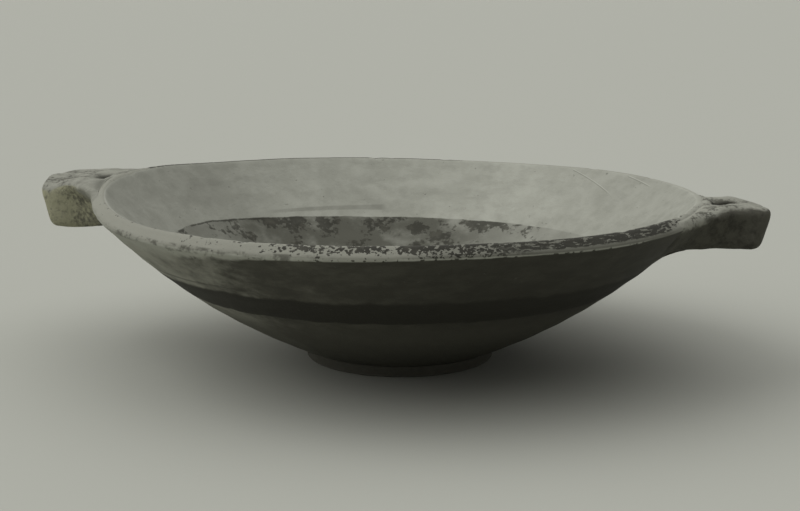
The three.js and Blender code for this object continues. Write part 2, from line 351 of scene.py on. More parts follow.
def draw_section(name, points):
    """A chain of edges in the XZ plane, drawn by extruding one point from place to place."""
    bpy.ops.object.select_all(action="DESELECT")
    bpy.ops.mesh.primitive_plane_add(size=WALL, location=(0, 0, 0), enter_editmode=True)
    bpy.ops.mesh.merge(type="CENTER")
    bpy.ops.transform.translate(value=(points[0].x, 0, points[0].y))
    for here, there in zip(points, points[1:]):
        step = there - here
        bpy.ops.mesh.extrude_region_move(TRANSFORM_OT_translate={"value": (step.x, 0, step.y)})
    section = bpy.context.object
    section.name = name
    return section


def spin_section(section, steps):
    """Spins the section that is being edited about Z and closes it."""
    bpy.ops.mesh.select_all(action="SELECT")
    bpy.ops.mesh.spin(steps=steps, angle=2 * math.pi, center=(0, 0, 0), axis=(0, 0, 1))
    bpy.ops.mesh.select_all(action="SELECT")
    bpy.ops.mesh.remove_doubles(threshold=SEAM)
    bpy.ops.mesh.normals_make_consistent(inside=False)
    bpy.ops.object.mode_set(mode="OBJECT")
    bpy.ops.object.shade_smooth()
    return section


print("points closer than", SEAM, "m will be merged")

# %% [markdown]
# ## The thrown body
#
# The line runs from the middle of the underside up the outside, over the lip and down the inside to
# the middle of the floor. A lathe of straight lines would look machined. So the lip's two edges are
# worn round and the outside swells a little, as a hand-thrown wall does. Small steps give the rings
# and chips that follow enough points.

# %% Throw the body
LIP_ROUND = 0.0026  # wear of the lip's two edges
FLOOR = 0.0075
FLOOR_DISH = 0.003
BELLY = 0.0012  # swelling of the outside between the foot and the lip
WALL_STEPS = 46
LIP_STEPS = 5
FLOOR_STEPS = 12
BODY_STEPS = 448


def arc(radius, start, end, steps):
    """Points along an arc of the wall, both ends included."""
    return [on_arc(radius, start + (end - start) * i / steps) for i in range(steps + 1)]


def curve(start, pull, end, steps):
    """Points along a curve that leaves start towards pull and comes to end from pull."""
    shares = [i / steps for i in range(steps + 1)]
    return [(1 - s) ** 2 * start + 2 * s * (1 - s) * pull + s**2 * end for s in shares]


def rounded(before, corner, after, cut, steps):
    """A corner worn round, starting a cut before it and ending a cut after it."""
    start = corner + cut * (before - corner).normalized()
    end = corner + cut * (after - corner).normalized()
    return curve(start, corner, end, steps)


def body_section():
    inner = WALL_CURVE - WALL
    floor_top = FOOT_EDGE.y + FLOOR
    floor_angle = math.asin((floor_top + FLOOR_DISH - CENTRE.y) / inner)
    floor_edge = on_arc(inner, floor_angle)
    steepness = math.tan(floor_angle + math.pi / 2)
    floor_turn = Vector((floor_edge.x - FLOOR_DISH / steepness, floor_top))
    outer_end = angle_of(LIP_OUTER) - LIP_ROUND / WALL_CURVE
    inner_start = angle_of(LIP_CREST) - LIP_ROUND / inner
    rise = arc(WALL_CURVE, angle_of(FOOT_EDGE), outer_end, WALL_STEPS)
    swell = [BELLY * math.sin(math.pi * i / WALL_STEPS) for i in range(WALL_STEPS + 1)]
    rise = [point + out * (point - CENTRE).normalized() for point, out in zip(rise, swell)]
    fall = arc(inner, inner_start, floor_angle, WALL_STEPS)
    edge = rounded(rise[-1], LIP_OUTER, LIP_CREST, LIP_ROUND, LIP_STEPS)
    crest = rounded(LIP_OUTER, LIP_CREST, fall[0], LIP_ROUND, LIP_STEPS)
    face = [edge[-1].lerp(crest[0], share) for share in (0.25, 0.5, 0.75)]
    floor_line = curve(floor_edge, floor_turn, Vector((0, floor_top)), FLOOR_STEPS)
    underside = [Vector((FOOT_EDGE.x * share, FOOT_EDGE.y)) for share in (0, 0.3, 0.6, 0.85)]
    return underside + rise[:-1] + edge + face + crest + fall[1:] + floor_line[1:]


thrown_body = spin_section(draw_section("thrown_body", body_section()), BODY_STEPS)
print("thrown_body:", len(thrown_body.data.polygons), "faces")

# %% [markdown]
# ## Marks for the paint
#
# The painter followed the wall, so the paint does too. Before the body is bent out of true, each
# point is marked with how far through the wall it lies, from 0 on the outside to 1 on the inside,
# and with its height on the wall. Vertex paint could mark them by hand, but these numbers are exact.
# The finish reads them later.

# %% Mark the body
def read_points(piece):
    flat = np.empty(3 * len(piece.data.vertices))
    piece.data.vertices.foreach_get("co", flat)
    return flat.reshape(-1, 3)


def read_normals(piece):
    flat = np.empty(3 * len(piece.data.vertices))
    piece.data.vertex_normals.foreach_get("vector", flat)
    return flat.reshape(-1, 3)


def write_points(piece, points):
    piece.data.vertices.foreach_set("co", points.ravel())
    piece.data.update()


def mark(piece, name, values):
    """Stores a number at each point of a piece, for its finish to read."""
    piece.data.attributes.new(name, "FLOAT", "POINT").data.foreach_set("value", values)


def depth_in_wall(radius, height):
    """0 on the outer face of the wall, 1 on the inner face."""
    reach = np.hypot(radius - CENTRE.x, height - CENTRE.y)
    wall = np.clip((WALL_CURVE - reach) / WALL, 0, 1)
    base = np.where(height > FOOT_EDGE.y + FLOOR / 2, 1.0, 0.0)
    return np.where(radius < FOOT_EDGE.x, base, wall)


points = read_points(thrown_body)
radius = np.hypot(points[:, 0], points[:, 1])
mark(thrown_body, "through_wall", depth_in_wall(radius, points[:, 2]))
mark(thrown_body, "height_on_wall", points[:, 2])
print("marked", len(points), "points")

# %% [markdown]
# ## Out of true
#
# The rim dried into a low saddle, and the pull of the left handle lifted it further there. At both
# handles the lip was turned up to meet the strap. Sculpt mode could bend the body by hand. A rule that
# gives the rise at any place is better here, because the straps are bent by it too and so stay on the
# rim.

# %% Describe the bent rim
RIM_WAVE = 0.0018
RIM_WAVE_TURN = math.radians(-19)  # from the right handle to a high point of the rim
RIM_PULL = ((0.0024, 168, 10.5),)  # rise, degrees from the right handle, spread in degrees
RIM_HANDLED = (  # rises and dips that the hand left, besides those of the solid
    (0.0034, 195, 14),
    (0.0013, -77, 32),
    (-0.0015, -36, 18),
    (0.0012, 52, 16),
)


def rises(x, y, pulls):
    """Sum of some rises and dips in the direction of x, y."""
    turn = np.arctan2(y, x)
    lift = np.zeros(len(turn))
    for rise, middle, spread in pulls:
        aside = np.mod(turn - math.radians(middle) + math.pi, 2 * math.pi) - math.pi
        lift += rise * np.exp(-0.5 * (aside / math.radians(spread)) ** 2)
    return lift


def out_on_wall(x, y):
    """0 at the foot's edge, 1 at the crest of the lip."""
    return np.clip((np.hypot(x, y) - FOOT_EDGE.x) / (LIP_CREST.x - FOOT_EDGE.x), 0, 1.05)


def pulled(x, y, pulls):
    """The rises and dips at x, y, growing from the foot to the lip."""
    return out_on_wall(x, y) ** 2 * rises(x, y, pulls)


def rim_lift(x, y):
    """Rise of a point that stands at x, y on the bowl."""
    wave = RIM_WAVE * np.cos(2 * (np.arctan2(y, x) - RIM_WAVE_TURN))
    return out_on_wall(x, y) ** 2 * wave + pulled(x, y, RIM_PULL + RIM_HANDLED)


handles_at = np.array([LIP_CREST.x, -LIP_CREST.x])
print("rise at the right and left handle:", rim_lift(handles_at, np.zeros(2)).round(4))

# %% [markdown]
# ## Traces of making and use
#
# The potter's fingers left faint rings on the wall, clay is never quite smooth, and long use chipped
# the lip's edges. A bump map would show all this only in the shading. Points that are pushed along
# their normals show it in the outline too. The chips are drawn from a fixed seed, so that they fall
# in the same places each time.

# %% Ring, chip and bend the body
RING_HEIGHT = 0.00013
RING_SPACING = 0.0083
CHIPS = 34
CHIP_SEED = 11
CHIP_SIZE = (0.0022, 0.0050)
CHIP_DEPTH = (0.0003, 0.0009)
LUMP, LUMP_DEPTH = 0.028, 0.00016
GRAIN, GRAIN_DEPTH = 0.006, 0.00007
LIP_TURNS = ((0.0044, 183, 8.5), (0.0026, 2, 9))  # rise of the lip's outer edge at the handles
LIP_TURN_DEPTH = 0.010  # how far below its edge the lip was turned up


def lumps(points, size, layer):
    """Soft noise from -1 to 1 with lumps of about that size. Layers differ from each other."""
    shift = Vector((7.3, 1.9, 4.1)) * layer
    return np.array([noise.noise(Vector(p) / size + shift) for p in points])


def throwing_rings(points, heights):
    drift = lumps(points, 0.05, 1)
    wave = np.sin(2 * math.pi * heights / RING_SPACING + 2.2 * drift)
    return RING_HEIGHT * wave * (0.6 + 0.4 * lumps(points, 0.09, 2))


def chips(points):
    """How far each point is pushed in by the chips along the lip's two edges."""
    chance = random.Random(CHIP_SEED)
    depth = np.zeros(len(points))
    for i in range(CHIPS):
        turn = chance.uniform(-math.pi, math.pi)
        edge = LIP_OUTER if i % 3 else LIP_CREST
        centre = np.array((edge.x * math.cos(turn), edge.x * math.sin(turn), edge.y))
        size = chance.uniform(*CHIP_SIZE)
        away = np.linalg.norm(points - centre, axis=1) / size
        dent = np.clip(1 - away**2, 0, 1) ** 2
        depth = np.maximum(depth, chance.uniform(*CHIP_DEPTH) * dent)
    return depth


normals = read_normals(thrown_body)
heights = points[:, 2].copy()
push = throwing_rings(points, heights) - chips(points)
push += LUMP_DEPTH * lumps(points, LUMP, 3) + GRAIN_DEPTH * lumps(points, GRAIN, 4)
standing = heights < FOOT_EDGE.y + SEAM
push[standing] = 0
points += push[:, None] * normals
outer = 1 - depth_in_wall(radius, heights)
by_the_lip = np.clip(1 - (LIP_OUTER.y - heights) / LIP_TURN_DEPTH, 0, 1) ** 2
points[:, 2] += outer * by_the_lip * rises(points[:, 0], points[:, 1], LIP_TURNS)
points[:, 2] += rim_lift(points[:, 0], points[:, 1])
write_points(thrown_body, points)
print("lip now from", round(heights.max(), 4), "to", round(points[:, 2].max(), 4), "m high")

# %% [markdown]
# ## Foot
#
# The foot is a ring of clay under the body, with a fillet pressed into the corner inside it. Both
# are turned like the body. They reach a little into the body, because fired clay shows no gap where
# two pieces were luted.

# %% Turn the foot and its fillet
FOOT_RADIUS = 0.0482  # outside, on the table
FOOT_RING_WIDTH = 0.0095
FOOT_ROUND = 0.0013
FOOT_LUTE = 0.0032
LUTED = 0.0004  # how far luted pieces reach into each other
FOOT_STEPS = 256


def ring_section():
    top = FOOT_EDGE.y + LUTED
    inner = FOOT_RADIUS - FOOT_RING_WIDTH
    outer_top = Vector((FOOT_EDGE.x, top))
    inner_top = Vector((inner, top))
    outer_foot = Vector((FOOT_RADIUS, 0))
    inner_foot = Vector((inner, 0))
    inside = rounded(inner_top, inner_foot, outer_foot, FOOT_ROUND, steps=4)
    outside = rounded(inner_foot, outer_foot, outer_top, FOOT_ROUND, steps=4)
    rise = [outside[-1].lerp(outer_top, share) for share in (0.33, 0.67, 1)]
    flat = [inside[-1].lerp(outside[0], share) for share in (0.33, 0.67)]
    return [inner_top] + inside + flat + outside + rise + [inner_top]


def fillet_section():
    corner = Vector((FOOT_RADIUS - FOOT_RING_WIDTH + LUTED, FOOT_EDGE.y + LUTED))
    low = corner - Vector((0, FOOT_LUTE + LUTED))
    inward = corner - Vector((FOOT_LUTE + LUTED, 0))
    hollow = corner - Vector((0.3 * FOOT_LUTE, 0.3 * FOOT_LUTE))
    return curve(inward, hollow, low, steps=6) + [corner, inward]


def worn(piece, depth, lump, layer):
    """Rubs a turned piece out of true, without taking it below the table."""
    points = read_points(piece)
    points += (depth * lumps(points, lump, layer))[:, None] * read_normals(piece)
    points[:, 2] = np.maximum(points[:, 2], 0)
    write_points(piece, points)


ring_foot = spin_section(draw_section("ring_foot", ring_section()), FOOT_STEPS)
worn(ring_foot, depth=0.00022, lump=0.009, layer=5)
foot_fillet = spin_section(draw_section("foot_fillet", fillet_section()), FOOT_STEPS)
worn(foot_fillet, depth=0.0002, lump=0.006, layer=6)
print("foot:", len(ring_foot.data.polygons) + len(foot_fillet.data.polygons), "faces")

# %% [markdown]
# ## Straps from the solids
#
# A strap handle is pulled from a lump of clay, bent and pressed on, so it has no true flat or edge.
# It could be built from a box by extruding and bending, but the solids already hold its form. A copy
# of each is merged and remeshed into small even faces, which can then be pushed about like clay.

# %% Copy the straps
SIDES = ("left", "right")
STRAP_GRAIN = 0.0006  # size of the faces
LIFT_REACH = 0.022  # how far out from the lip a strap follows the rises of the rim


def pick(piece):
    """Makes a piece the only one that is selected, and the active one."""
    bpy.ops.object.select_all(action="DESELECT")
    piece.select_set(True)
    bpy.context.view_layer.objects.active = piece


def remesh(piece, grain):
    """Wraps the active piece in even faces of about that size."""
    piece.data.remesh_voxel_size = grain
    bpy.ops.object.voxel_remesh()


def clay_from(node, name, grain):
    """A copy of a solid in even faces of about that size, lifted with the rim."""
    piece = bpy.data.objects.new(name, frame["nodes"][node].data.copy())
    piece.data.materials.clear()
    bpy.context.scene.collection.objects.link(piece)
    pick(piece)
    bpy.ops.object.mode_set(mode="EDIT")
    bpy.ops.mesh.select_all(action="SELECT")
    bpy.ops.mesh.remove_doubles(threshold=SEAM)
    bpy.ops.object.mode_set(mode="OBJECT")
    remesh(piece, grain)
    points = read_points(piece)
    x, y = points[:, 0], points[:, 1]
    share = np.clip(1 - (np.hypot(x, y) - LIP_OUTER.x) / LIFT_REACH, 0, 1)
    points[:, 2] += share * pulled(x, y, RIM_HANDLED)
    write_points(piece, points)
    return piece


straps = {side: clay_from(f"handle_{side}", f"strap_{side}", STRAP_GRAIN) for side in SIDES}
print("faces:", {strap.name: len(strap.data.polygons) for strap in straps.values()})

# %% [markdown]
# ## Distance from the body
#
# Clay that was pressed on changed the more, the closer it lies to the body. So each point of a strap
# has to know its distance from the body and the way straight off it. A search for the nearest face
# could find both. In section the wall is an arc and the lip's face a straight line, so here a little
# geometry gives them, and more quickly.

# %% Measure off the body
ROOT_SKIN = 0.0008  # clay this close to the body belongs to the root
LIP_FACE = (LIP_OUTER - LIP_CREST).normalized()
LIP_NORMAL = Vector((-LIP_FACE.y, LIP_FACE.x))


def off_the_body(points):
    """Distance of each point from the body's outside, and the way straight off it."""
    flat = np.hypot(points[:, 0], points[:, 1])
    level = points[:, 2] - rim_lift(points[:, 0], points[:, 1])
    reach = np.hypot(flat - CENTRE.x, level - CENTRE.y)
    off_wall = reach - WALL_CURVE
    off_lip = (flat - LIP_CREST.x) * LIP_NORMAL.x + (level - LIP_CREST.y) * LIP_NORMAL.y
    on_lip = off_lip > off_wall
    outward = np.where(on_lip, LIP_NORMAL.x, (flat - CENTRE.x) / reach)
    upward = np.where(on_lip, LIP_NORMAL.y, (level - CENTRE.y) / reach)
    way = np.stack([outward * points[:, 0] / flat, outward * points[:, 1] / flat, upward], axis=1)
    return np.where(on_lip, off_lip, off_wall), way


def root_of(piece):
    """Which points of a piece lie against the body."""
    return off_the_body(read_points(piece))[0] < ROOT_SKIN


roots = {side: root_of(strap) for side, strap in straps.items()}
print("points against the body:", {side: int(root.sum()) for side, root in roots.items()})

# %% [markdown]
# ## Spread roots
#
# Where an arm of a strap meets the rim, the potter's thumb spread it along the lip, mostly on the
# near side. Proportional editing would do this by hand. Here each point moves the more, the nearer
# it stands to the body. It is then set back to its old distance from the wall, so that the arm
# spreads along the curve of the rim and not through it.

# %% Spread the roots
FIRST_STROKES = 8  # they take the steps out of the remeshed faces
SPREAD_NEAR = 0.013  # how far an arm spreads along the rim at its root
SPREAD_FAR = 0.004
SPREAD_REACH = 0.018
ARM_START, ARM_WIDTH = 0.010, 0.012  # from a strap's middle: where its arms begin to spread
TOP_DEPTH, TOP_FALL = 0.010, 0.006  # how deep the top of a strap reaches, and where it fades
TOP_SMEAR = {"left": 0.014, "right": 0.009}  # how much further the near arm's top was smeared
RIM_FLUSH = {"left": 0.0036, "right": 0.0023}  # how far the near arm rises to run into the lip
FLUSH_START, FLUSH_WIDTH = 0.012, 0.007  # from a strap's middle: where that rise begins


def smooth(piece, strokes):
    """Smooths a piece all over."""
    pick(piece)
    bpy.ops.object.mode_set(mode="EDIT")
    bpy.ops.mesh.select_all(action="SELECT")
    bpy.ops.mesh.vertices_smooth(factor=0.5, repeat=strokes)
    bpy.ops.object.mode_set(mode="OBJECT")


def spread_root(strap, side):
    """Spreads the arms of a strap along the rim and lifts the near one's top to the lip."""
    points = read_points(strap)
    distance = off_the_body(points)[0]
    low, high = points[:, 1].min(), points[:, 1].max()
    aside = points[:, 1] - (low + high) / 2
    outer = np.clip((np.abs(aside) - ARM_START) / ARM_WIDTH, 0, 1)
    upper = np.clip((points[:, 2] - points[:, 2].max() + TOP_DEPTH) / TOP_FALL, 0, 1)
    most = np.where(aside < 0, -SPREAD_NEAR - TOP_SMEAR[side] * upper, SPREAD_FAR)
    close = np.clip(1 - distance / SPREAD_REACH, 0, 1)
    points[:, 1] += most * outer * close**2
    moved, way = off_the_body(points)
    points -= (moved - distance)[:, None] * way
    on_arm = np.clip(-(aside + FLUSH_START) / FLUSH_WIDTH, 0, 1)
    points[:, 2] += RIM_FLUSH[side] * upper * on_arm * close
    write_points(strap, points)


for side, strap in straps.items():
    smooth(strap, FIRST_STROKES)
    spread_root(strap, side)
    print(strap.name, "is now", round(float(np.ptp(read_points(strap)[:, 1])), 4), "m wide")

# %% [markdown]
# ## Thumb marks
#
# No two straps are pulled alike: each bulges here and sags there. The grab brush of sculpt mode does
# that by hand, and a tug does the same by rule: a place, how far round it the clay follows, and which
# way. So it comes out the same each time.

# %% Tug the straps
TUGS = {  # uneven places of each strap: where, how far round it, which way
    "left": (
        ((-0.190, -0.016, 0.086), 0.013, (0, 0, 0.0028)),
        ((-0.182, 0.012, 0.086), 0.011, (-0.0018, 0, -0.0006)),
        ((-0.158, 0.028, 0.088), 0.014, (0, 0, 0.0006)),
        ((-0.159, -0.028, 0.066), 0.013, (0, 0, -0.0024)),
        ((-0.1675, -0.004, 0.084), 0.006, (0.0012, 0, 0)),
        ((-0.1600, -0.012, 0.088), 0.006, (0, 0, -0.0012)),
        ((-0.185, -0.027, 0.088), 0.010, (-0.0008, 0.0012, -0.0016)),
    ),
    "right": (
        ((0.181, 0.018, 0.086), 0.013, (0, 0, -0.0021)),
        ((0.166, -0.022, 0.062), 0.012, (0, 0, 0.0008)),
        ((0.166, 0.020, 0.087), 0.012, (0, 0, 0.0012)),
        ((0.184, 0.002, 0.086), 0.008, (0, 0, -0.0012)),
        ((0.166, -0.022, 0.086), 0.011, (0, 0, 0.0012)),
    ),
}


def tug(piece, middle, reach, move):
    """Draws the clay round a place along a way, less and less with distance."""
    points = read_points(piece)
    share = np.exp(-(np.linalg.norm(points - np.array(middle), axis=1) / reach) ** 2)
    write_points(piece, points + share[:, None] * np.array(move))


for side, strap in straps.items():
    for middle, reach, move in TUGS[side]:
        tug(strap, middle, reach, move)
    print(strap.name, "tugged in", len(TUGS[side]), "places")

# %% [markdown]
# ## Pressed on with a wet hand
#
# The root of a strap was pressed into the wall while both were damp, so it reaches into it and no gap
# shows. A wet hand then smoothed the strap and left it a little lumpy. Smoothing in edit mode does
# what a Smooth modifier would, and noise along the normals gives the lumps.

# %% Press on and smooth the straps
ROOT_DEPTH = 0.002  # how far the root is pushed into the wall
ROOT_SINK = 0.0006  # how far the top of an arm sinks towards the lip
SINK_REACH = 0.012


def press_on(piece, root):
    """Pushes the root of a piece into the wall and sinks the rest of it towards the lip."""
    points = read_points(piece)
    distance, way = off_the_body(points)
    points -= np.where(root, distance + ROOT_DEPTH, 0)[:, None] * way
    points[:, 2] -= ROOT_SINK * np.clip(1 - distance / SINK_REACH, 0, 1) ** 2
    write_points(piece, points)


def wet_hand(piece, strokes, lump, depth, layer):
    """Smooths a piece and leaves it a little lumpy."""
    smooth(piece, strokes)
    bpy.ops.object.shade_smooth()
    points = read_points(piece)
    rough = lumps(points, lump, layer) + 0.35 * lumps(points, lump / 4, layer + 1)
    points += (depth * rough)[:, None] * read_normals(piece)
    write_points(piece, points)


for i, (side, strap) in enumerate(straps.items()):
    press_on(strap, roots[side])
    wet_hand(strap, strokes=22, lump=0.011, depth=0.0005, layer=10 + 2 * i)
tops = {side: read_points(strap)[:, 2].max() for side, strap in straps.items()}
print("tops of the straps:", {side: round(top, 4) for side, top in tops.items()})

# %% [markdown]
# ## A collar round each root
#
# The potter also smeared the arms onto the lip, so no edge shows where strap and lip meet. A bevel
# can't follow such a joint, because the strap and the body are separate meshes. So a thin collar is
# copied off the body round each root, as the layer of smeared clay, and is raised a little beside the
# strap. The next step makes one skin of the two.

# %% Copy the collars
COLLAR_LOW = 0.050  # height on the wall where a collar ends
COLLAR_CREST = 0.85  # share of the wall's thickness where it ends on the lip
COLLAR_REACH = 0.024  # how far from the strap it ends
COLLAR_WALL = 0.0020  # its thickness
COLLAR_LAYER = {"left": 0.0010, "right": 0.0022}  # clay on the lip right at the strap
FAR_LAYER, FAR_START = 0.3, 0.012  # share of it beside the far arm, and from where
LAYER_REACH = 0.009
LAYER_LOW, LAYER_FADE = 0.064, 0.010  # height on the wall below which none lies, and how it fades in
GAP_MIDDLE = {"left": (-0.1605, -0.0045), "right": (0.1615, 0.0060)}  # of the finger gaps


def skin_of(piece):
    """The faces of a piece, in a form that finds the nearest one quickly."""
    return BVHTree.FromObject(piece, bpy.context.evaluated_depsgraph_get())


def away_from(skin, points):
    """Distance of each point from a skin."""
    return np.array([skin.find_nearest(point)[3] for point in points])


def read_mark(piece, name):
    values = np.empty(len(piece.data.vertices))
    piece.data.attributes[name].data.foreach_get("value", values)
    return values


def select_points(piece, chosen):
    """Goes into edit mode with only these points of the active piece selected."""
    bpy.ops.object.mode_set(mode="EDIT")
    bpy.ops.mesh.select_all(action="DESELECT")
    bpy.ops.object.mode_set(mode="OBJECT")
    piece.data.vertices.foreach_set("select", chosen)
    bpy.ops.object.mode_set(mode="EDIT")


def collar_for(side, strap_skin):
    """A thin skin off the outside of the lip round a strap, thickest where it meets the strap."""
    collar = bpy.data.objects.new(f"collar_{side}", thrown_body.data.copy())
    bpy.context.scene.collection.objects.link(collar)
    pick(collar)
    away = away_from(strap_skin, read_points(collar))
    beyond = (read_mark(collar, "height_on_wall") < COLLAR_LOW) | (away > COLLAR_REACH)
    select_points(collar, beyond | (read_mark(collar, "through_wall") > COLLAR_CREST))
    bpy.ops.mesh.delete(type="VERT")
    bpy.ops.object.mode_set(mode="OBJECT")
    points = read_points(collar)
    away = away_from(strap_skin, points)
    layer = COLLAR_LAYER[side] * np.exp(-((away / LAYER_REACH) ** 2))
    layer *= np.clip((read_mark(collar, "height_on_wall") - LAYER_LOW) / LAYER_FADE, 0, 1)
    layer *= np.interp(points[:, 1] - GAP_MIDDLE[side][1], (0, FAR_START), (1, FAR_LAYER))
    write_points(collar, points + layer[:, None] * read_normals(collar))
    wall = collar.modifiers.new("wall", "SOLIDIFY")
    wall.thickness = COLLAR_WALL
    wall.offset = -1
    bpy.ops.object.modifier_apply(modifier="wall")
    return collar


strap_skins = {side: skin_of(strap) for side, strap in straps.items()}
collars = {side: collar_for(side, skin) for side, skin in strap_skins.items()}
print("faces:", {collar.name: len(collar.data.polygons) for collar in collars.values()})

# %% [markdown]
# ## Arms smeared onto the lip
#
# Strap and collar are joined and remeshed into one skin. A Boolean union would join them too, but its
# long thin faces along the corner smooth badly. Smoothing only the corner fills it, as a thumb does
# with wet clay, and the finger gap is left out of it.

# %% Join the straps and the collars
COLLAR_GRAIN = 0.0008
SKIN_STROKES = 5
CORNER_REACH = 0.009  # how far the corner between strap and lip was smoothed
CORNER_STROKES = 120
CORNER_GAP = 0.0095  # the finger gap's surroundings are left as they are


def off_skin(skin, points):
    """Height of each point above a skin, below 0 inside it, the way off it and the nearest face."""
    found = [skin.find_nearest(point) for point in points]
    way = np.array([normal for _, normal, _, _ in found])
    off = ((points - np.array([place for place, _, _, _ in found])) * way).sum(axis=1)
    return off, way, np.array([face for _, _, face, _ in found])


def smear_on_lip(strap, collar, strap_skin, gap):
    """Joins a strap and its collar into one skin and smooths the corner between them."""
    pick(strap)
    collar.select_set(True)
    bpy.ops.object.join()
    remesh(strap, COLLAR_GRAIN)
    smooth(strap, SKIN_STROKES)
    points = read_points(strap)
    off_body = np.abs(off_skin(skin_of(thrown_body), points)[0])
    off_strap = away_from(strap_skin, points)
    beside_gap = np.linalg.norm(points[:, :2] - gap, axis=1) > CORNER_GAP
    select_points(strap, (off_body < CORNER_REACH) & (off_strap < CORNER_REACH) & beside_gap)
    bpy.ops.mesh.vertices_smooth(factor=0.5, repeat=CORNER_STROKES)
    bpy.ops.object.mode_set(mode="OBJECT")
    bpy.ops.object.shade_smooth()


for side, strap in straps.items():
    smear_on_lip(strap, collars[side], strap_skins[side], GAP_MIDDLE[side])
print("faces:", {strap.name: len(strap.data.polygons) for strap in straps.values()})

# %% [markdown]
# ## Where the smear runs out
#
# A thumb thins clay out to nothing, but a collar has a thickness, and its border would stand up as a
# step. A Shrinkwrap modifier would lay all of it on the body. Here it goes just below the body's skin
# only at its borders and away from the strap, and close to the strap a least layer of clay stays.

# %% Let the collars run out
LAYER_END = 0.018  # from the strap, where no clay lies on the lip any more
SKIN_SINK = 0.0004  # how far the collar lies below the body's skin where no clay covers it
LEAST_LAYER = 0.0012  # least clay on the lip right at the strap, from the level of the sunk collar
LEAST_REACH = 0.015
BORDER_CREST = (0.40, 0.75)  # shares of the wall's thickness between which the clay runs out
BORDER_LOW = (0.003, 0.008)  # heights above the collar's low end between which it begins
CLEAR_OF_BODY = (0.0025, 0.0045)  # clay this far off the body belongs to the strap alone
LAST_STROKES = 2


def sink_collar(strap, strap_skin):
    """Lets the collar run out below the body's skin, away from the strap and at its own edges."""
    points = read_points(strap)
    off, way, faces = off_skin(skin_of(thrown_body), points)
    away = away_from(strap_skin, points)
    nearest = np.array([polygon.vertices[0] for polygon in thrown_body.data.polygons])[faces]
    through = read_mark(thrown_body, "through_wall")[nearest]
    height = read_mark(thrown_body, "height_on_wall")[nearest]
    border = np.interp(through, BORDER_CREST, (1, 0))
    border = border * np.interp(height - COLLAR_LOW, BORDER_LOW, (0, 1))
    edge = border * np.clip(2 - 2 * away / LAYER_END, 0, 1)
    edge = np.maximum(edge, np.interp(off, CLEAR_OF_BODY, (0, 1)))
    cover = np.clip(off / (2 * SKIN_SINK), 0, 1)
    keep = edge * cover * cover * (3 - 2 * cover)
    laid = off - np.clip(off + SKIN_SINK, 0, None) * (1 - keep)
    least = LEAST_LAYER * border * np.clip(1 - away / LEAST_REACH, 0, 1) - SKIN_SINK
    laid = np.where(off > -COLLAR_WALL / 2, np.maximum(laid, least), laid)
    points += (laid - off)[:, None] * way
    write_points(strap, points)
    smooth(strap, LAST_STROKES)


for side, strap in straps.items():
    sink_collar(strap, strap_skins[side])
    print(strap.name, "starts", round(read_points(strap)[:, 2].min(), 4), "m above the table")

# %% [markdown]
# ## Marks on the straps
#
# Hands rubbed the paint off the tops of the straps, and the finger gaps lie in deep shade, which is
# painted dark. A finish can't see such places by itself, so each point is marked, as on the body:
# which way it faces, how far it lies off the rim and below the top, and how deep it sits in the gap,
# for the painted shade there.

# %% Mark the straps
GAP_REACH = 0.0115


def mark_strap(strap, gap, top):
    """Stores what the finish of a strap needs: where on the strap each point lies."""
    points = read_points(strap)
    up = read_normals(strap)[:, 2]
    aside = np.linalg.norm(points[:, :2] - gap, axis=1)
    mark(strap, "facing_up", up)
    mark(strap, "off_the_rim", np.clip(off_the_body(points)[0], 0, None))
    mark(strap, "below_top", top - points[:, 2])
    deep = np.clip(2 * (GAP_REACH - aside) / GAP_REACH, 0, 1)
    # how deep a point sits in the finger gap, for the painted shade there
    mark(strap, "gap_shade", deep * np.clip(1.6 - 2 * up, 0, 1))
    print(strap.name, "marked, with", int((deep > 0).sum()), "points round its gap")


for side, strap in straps.items():
    mark_strap(strap, GAP_MIDDLE[side], tops[side])

# %% [markdown]
# ## Wads of luting clay
#
# Under each arm the potter pressed a wad of clay into the corner between strap and wall, and thinned
# its lower end onto the wall. The wads are made from their solids like the straps, because they take
# the same steps: remesh, press on and smooth.

# %% Press the wads under the arms
WAD_GRAIN = 0.0004
FEATHER = 0.009  # length over which the lower end of a wad was thinned out


def feather(smear):
    """Thins the lower end of a wad of clay onto the wall, as a thumb draws it out."""
    points = read_points(smear)
    distance, way = off_the_body(points)
    share = np.clip((points[:, 2] - points[:, 2].min()) / FEATHER, 0, 1)
    points -= ((1 - share) ** 2 * np.clip(distance, 0, None))[:, None] * way
    write_points(smear, points)


smears = {}
for i, side in enumerate(SIDES):
    for arm in ("near", "far"):
        smear = clay_from(f"lute_{side}_{arm}", f"smear_{side}_{arm}", WAD_GRAIN)
        root = root_of(smear)
        points = read_points(smear)
        points[:, 2] += LUTED * np.clip(read_normals(smear)[:, 2], 0, 1)
        write_points(smear, points)
        feather(smear)
        press_on(smear, root)
        wet_hand(smear, strokes=14, lump=0.006, depth=0.00025, layer=20 + 2 * i)
        smears[side, arm] = smear
print("faces:", {smear.name: len(smear.data.polygons) for smear in smears.values()})

# %% [markdown]
# ## Colours of the clay
#
# The picture has almost no colour, only a slight olive cast, so the colours stay close to grey: a pale
# buff slip, a grey-brown clay under it, a thin dark wash outside and a brown-black paint. Each is
# given as it looks on screen.

# %% Name the colours
# colour of the painted highlights on the crest and along the scratches
SLIP_HIGHLIGHT = tone(188, 189, 178)
SLIP_PALE = tone(165, 166, 155)
SLIP_DULL = tone(154, 155, 144)
SLIP_RUBBED = tone(131, 131, 120)
WASH = tone(64, 63, 55)
WASH_WORN = tone(79, 78, 69)
WASH_BARE = tone(146, 146, 134)
PAINT = tone(45, 44, 37)
PAINT_WORN = tone(73, 72, 63)
# also the painted shade deep in the finger gaps of the straps
BAND_PAINT_AND_SHADE = tone(40, 39, 32)
OLIVE = tone(146, 145, 121)
# grime, and also the painted shade on the left of the inside and in the scratches
GRIME_AND_SHADE = tone(87, 87, 78)
print("colours named")

